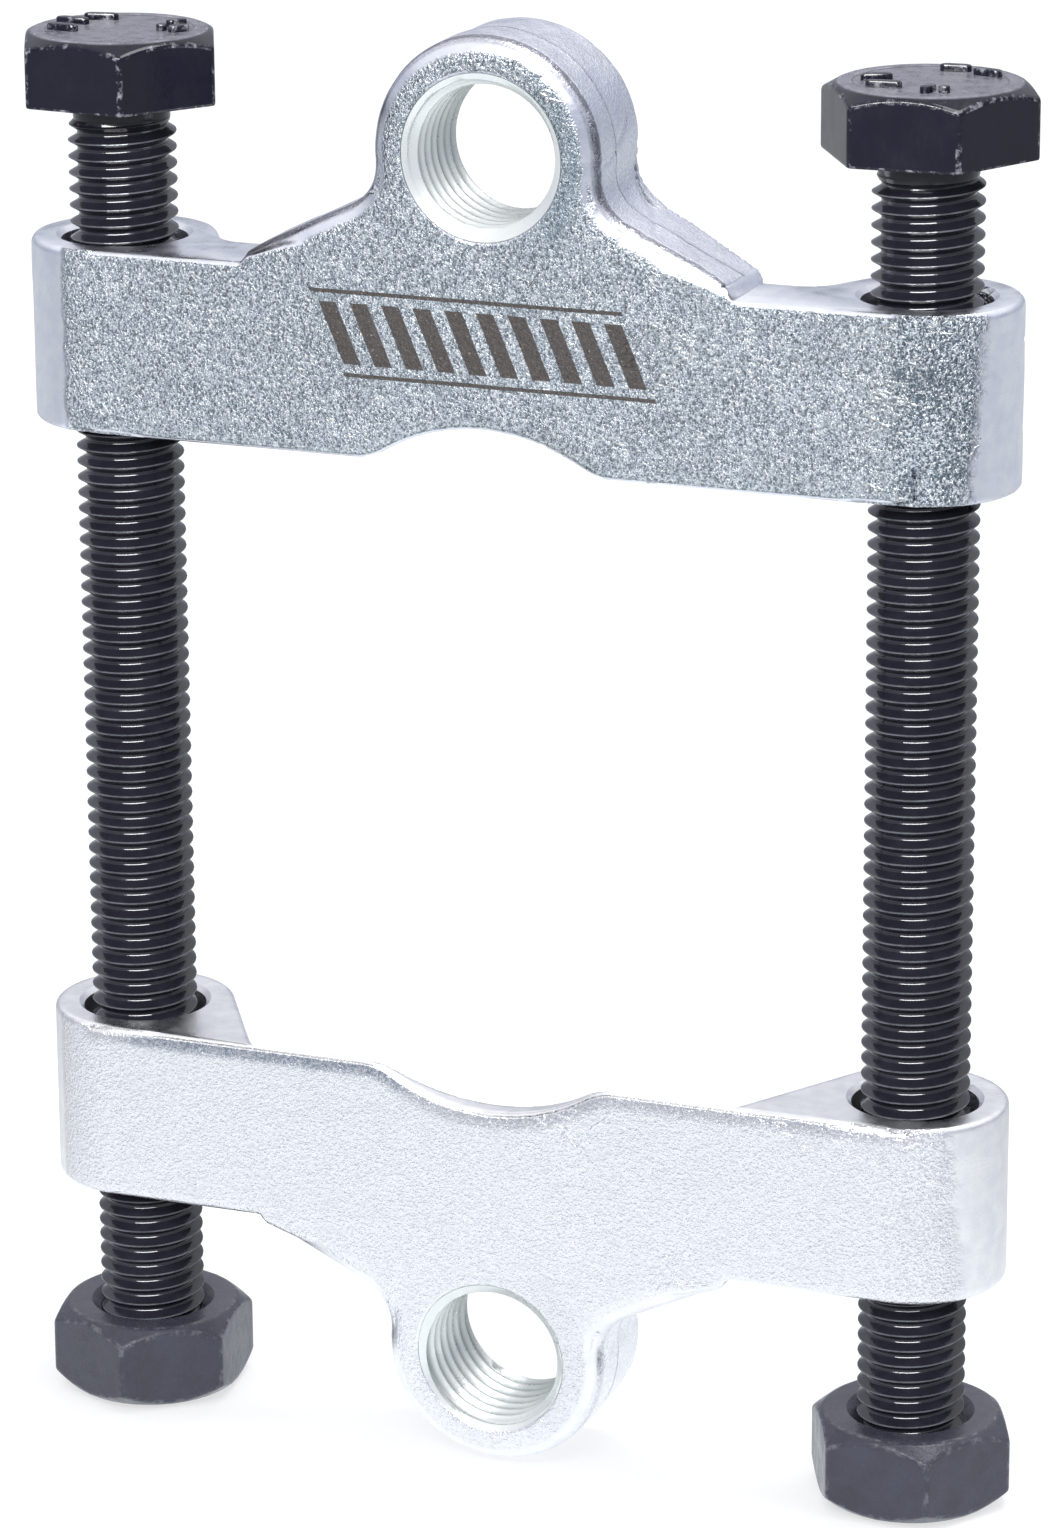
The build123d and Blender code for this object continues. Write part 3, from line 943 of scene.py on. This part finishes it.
def black(name, base, painted_light_tops, rough0, wear_and_highlight, edge_spots_from=0.50, ior=1.45, thread=False):
    """Blackened steel: flat tops painted lighter (painted light), paler rounded edges that are partly worn
    metal and partly a painted highlight, and paler half-metallic crests, a painted highlight along the
    thread with some bare metal.
    """
    g = Graph(name)
    p = g.place()
    big = g.noise(p, 2.6, 3.0, 0.6)
    fine = g.noise(p, 0.35, 2.0, 0.6)
    col = g.mix(g.smooth(big, 0.3, 0.7), base, tuple(1.4 * v for v in base))
    nz = g.xyz(g.node("ShaderNodeNewGeometry", 1))[2]
    worn_and_highlit = g.math("MULTIPLY", g.smooth(g.attr("edge"), 0.5, 1.0),
        g.smooth(g.noise(p, 1.0, 3.0, 0.7), edge_spots_from, edge_spots_from + 0.22))
    metal = 0.0
    if thread:
        # paler crests: a painted highlight along the thread, with some bare metal
        crest = g.math("MULTIPLY", g.attr("crest"),
            g.smooth(g.noise(p, 2.4, 3.0, 0.7), 0.30, 0.70, 0.25, 1.0))
        col = g.mix(crest, col, (0.070, 0.074, 0.083))
        metal = g.math("MULTIPLY", crest, 0.5)
    pz = g.xyz(p)[2]
    # flat tops facing up are painted lighter: painted light
    flat = g.math("MULTIPLY", g.smooth(nz, 0.9, 0.98), g.smooth(g.noise(p, 1.2, 2.0), 0.25, 0.6, 0.5, 1.0))
    if thread:
        # the heads are painted darker: painted shade against the strip light that also reaches them
        head = g.smooth(pz, HEAD_Z - 0.05, HEAD_Z + 0.05)
        col = g.mix(g.math("MULTIPLY", head, 0.7), col, (0.0012, 0.0012, 0.0045))
        flat = g.math("MULTIPLY", flat, g.smooth(pz, HEAD_Z + HEAD_H + 0.14, HEAD_Z + HEAD_H + 0.06))
    col = g.mix(flat, col, painted_light_tops)
    # paler spots along the rounded edges: partly wear, partly a painted highlight
    col = g.mix(g.math("MULTIPLY", worn_and_highlit, wear_and_highlight), col, (0.30, 0.31, 0.34))
    scratch = g.noise(g._vmul(p, (1.0, 1.0, 0.25)), 0.5, 3.0, 0.7)
    rough = g.smooth(g.math("ADD", g.math("MULTIPLY", big, 0.5), g.math("MULTIPLY", scratch, 0.5)), 0.35,
        0.65, rough0 - 0.06, rough0 + 0.1)
    rough = g.math("ADD", rough, g.math("MULTIPLY", flat, 0.22 if thread else 0.0))
    n = g.bump(fine, 0.02 if thread else 0.04, 0.5)
    n = g.bump(big, 0.03 if thread else 0.12, 0.5, n)
    level = g.lerp(head, 0.5, 0.36) if thread else 0.5
    return g.surface(Base_Color=col, Metallic=metal, Roughness=rough, IOR=ior, Specular_IOR_Level=level,
        Normal=n)


MARK_Z = 2.8
upper_zinc = zinc(
    "zinc_upper", base=(0.57, 0.63, 0.685), rub=(0.84, 0.86, 0.965), grain=1.9, specks=0.9, mouth=7.5,
    mark=True)
# the same zinc as the upper yoke with a near-white base: painted light
lower_zinc_painted_light = zinc(
    "zinc_lower_painted_light", base=(0.90, 0.90, 0.918), rub=(0.90, 0.905, 0.935), grain=0.75, specks=0.14, mouth=7.2,
    reach=(-44.0, 44.0))
bolt_black = black(
    "bolt_black", base=(0.0042, 0.0041, 0.0064), painted_light_tops=(0.068, 0.067, 0.083), rough0=0.12, wear_and_highlight=0.28,
    ior=1.47,
    thread=True)
nut_grey = black(
    "nut_grey", base=(0.032, 0.033, 0.051), painted_light_tops=(0.060, 0.061, 0.083), rough0=0.27, wear_and_highlight=0.38,
    edge_spots_from=0.45,
    ior=1.55)
YOKE_ZINC = {"upper_yoke": upper_zinc, "lower_yoke": lower_zinc_painted_light}
for node, ob in pieces.items():
    ob.data.materials.clear()
    ob.data.materials.append(YOKE_ZINC.get(node, bolt_black if "bolt" in node else nut_grey))


# ---------------------------------------------------------------- floor, light, camera
def make_floor():
    n, width, drop = 48, 4.0 / MM, -0.3
    v = [((i / n - 0.5) * width, (j / n - 0.5) * width, drop) for i in range(n + 1) for j in range(n + 1)]
    f = [(i * (n + 1) + j, (i + 1) * (n + 1) + j, (i + 1) * (n + 1) + j + 1, i * (n + 1) + j + 1)
        for i in range(n) for j in range(n)]
    ob = new_object("floor", v, f)
    return ob


floor = make_floor()


def area(name, loc, target, size, power, colour=(1, 1, 1), size_y=None):
    d = bpy.data.lights.new(name, "AREA")
    d.energy = power
    d.color = colour
    d.shape = "RECTANGLE"
    d.size = size
    d.size_y = size_y or size
    o = bpy.data.objects.new(name, d)
    bpy.context.scene.collection.objects.link(o)
    o.location = loc
    o.rotation_euler = (Vector(target) - Vector(loc)).to_track_quat("-Z", "Y").to_euler()
    return o


def make_world():
    """White behind the object; what the metal reflects runs from a bright sky to a dimmer horizon."""
    w = bpy.data.worlds.new("studio")
    bpy.context.scene.world = w
    w.use_nodes = True
    t = w.node_tree
    t.nodes.clear()
    new = t.nodes.new
    link = t.links.new
    tc = new("ShaderNodeTexCoord")
    sep = new("ShaderNodeSeparateXYZ")
    link(tc.outputs["Generated"], sep.inputs[0])
    ramp = new("ShaderNodeValToRGB")
    link(sep.outputs[2], ramp.inputs[0])
    e = ramp.color_ramp.elements
    e[0].position = 0.0
    e[0].color = (0.42, 0.45, 0.52, 1)
    e[1].position = 1.0
    e[1].color = (1.0, 1.0, 1.0, 1)
    m = e.new(0.25)
    m.color = (0.50, 0.52, 0.60, 1)
    m = e.new(0.55)
    m.color = (0.95, 0.96, 1.0, 1)
    seen = new("ShaderNodeBackground")
    seen.inputs[0].default_value = (1, 1, 1, 1)
    seen.inputs[1].default_value = 1.0
    felt = new("ShaderNodeBackground")
    link(ramp.outputs[0], felt.inputs[0])
    felt.inputs[1].default_value = 1.0
    lp = new("ShaderNodeLightPath")
    mix = new("ShaderNodeMixShader")
    link(lp.outputs["Is Camera Ray"], mix.inputs[0])
    link(felt.outputs[0], mix.inputs[1])
    link(seen.outputs[0], mix.inputs[2])
    out = new("ShaderNodeOutputWorld")
    link(mix.outputs[0], out.inputs[0])


make_world()
bpy.context.scene.view_settings.view_transform = "Standard"


def floor_paper():
    """Pale paper, evenly white to the camera. The metal's reflections see it glow, bright under the object
    and dimmer further away, as in a light tent: a painted pool of light.
    """
    g = Graph("floor_paper")
    p = g.place()
    lp = g.t.nodes.new("ShaderNodeLightPath")
    seen, gloss = lp.outputs["Is Camera Ray"], lp.outputs["Is Glossy Ray"]
    paper = g.mix(g.smooth(g.noise(p, 60.0, 2.0), 0.3, 0.7), (0.88, 0.89, 0.91), (0.91, 0.92, 0.935))
    base = g.mix(seen, paper, (0.36, 0.36, 0.37))
    base = g.mix(gloss, base, (0.0, 0.0, 0.0))
    x, y, z = g.xyz(p)
    yy = g.math("ADD", y, 120.0)
    r = g.math("SQRT", g.math("ADD", g.math("MULTIPLY", x, x), g.math("MULTIPLY", yy, yy)))
    # a painted glow that only reflections see, bright under the object and dimmer further away
    near = g.smooth(r, 90.0, 250.0, 1.04, 0.55)
    near = g.math("MULTIPLY", near, g.smooth(y, -60.0, 60.0, 1.0, 1.1))
    shine = g.node("ShaderNodeCombineColor", 0, None, Red=g.math("MULTIPLY", near, 0.96), Green=near,
        Blue=g.math("MULTIPLY", near, 1.05))
    glow = g.mix(gloss, g.mix(seen, (0.0, 0.0, 0.0), (0.66, 0.66, 0.66)), shine)
    return g.surface(Base_Color=base, Roughness=0.8, Emission_Color=glow, Emission_Strength=1.0,
        Normal=g.bump(g.noise(p, 1.5, 2.0), 0.02))


floor.data.materials.append(floor_paper())

area("front", (0.10, -0.60, 0.66), (0, 0, 0.07), 0.60, 2.0, size_y=0.16)
area("top", (0.16, 0.06, 0.80), (0, 0, 0.07), 0.30, 2.2)
# a strip light that only the bolts catch, for the glints in their threads
glint = area("glint", (0.055, -0.70, 0.48), (0, 0, 0.07), 0.85, 32.0, size_y=0.34)
threaded = bpy.data.collections.new("threaded_steel")
for node, ob in pieces.items():
    if "bolt" in node:
        threaded.objects.link(ob)
glint.light_linking.receiver_collection = threaded

cam_data = bpy.data.cameras.new("camera")
cam_data.lens = 136.96
cam_data.sensor_width = 36.0
cam_data.clip_start = 0.01
cam = bpy.data.objects.new("camera", cam_data)
bpy.context.scene.collection.objects.link(cam)
bpy.context.scene.camera = cam
# fitted to the photo
az, el, roll, dist = math.radians(21.264), math.radians(17.375), math.radians(-0.341), 0.5303
aim = Vector((0.00083, 0.0, 0.066))
cam.location = aim + dist * Vector((math.sin(az) * math.cos(el), -math.cos(az) * math.cos(el),
    math.sin(el)))
turn = (aim - cam.location).to_track_quat("-Z", "Y").to_matrix() @ Matrix.Rotation(roll, 3, "Z")
cam.rotation_euler = turn.to_euler()
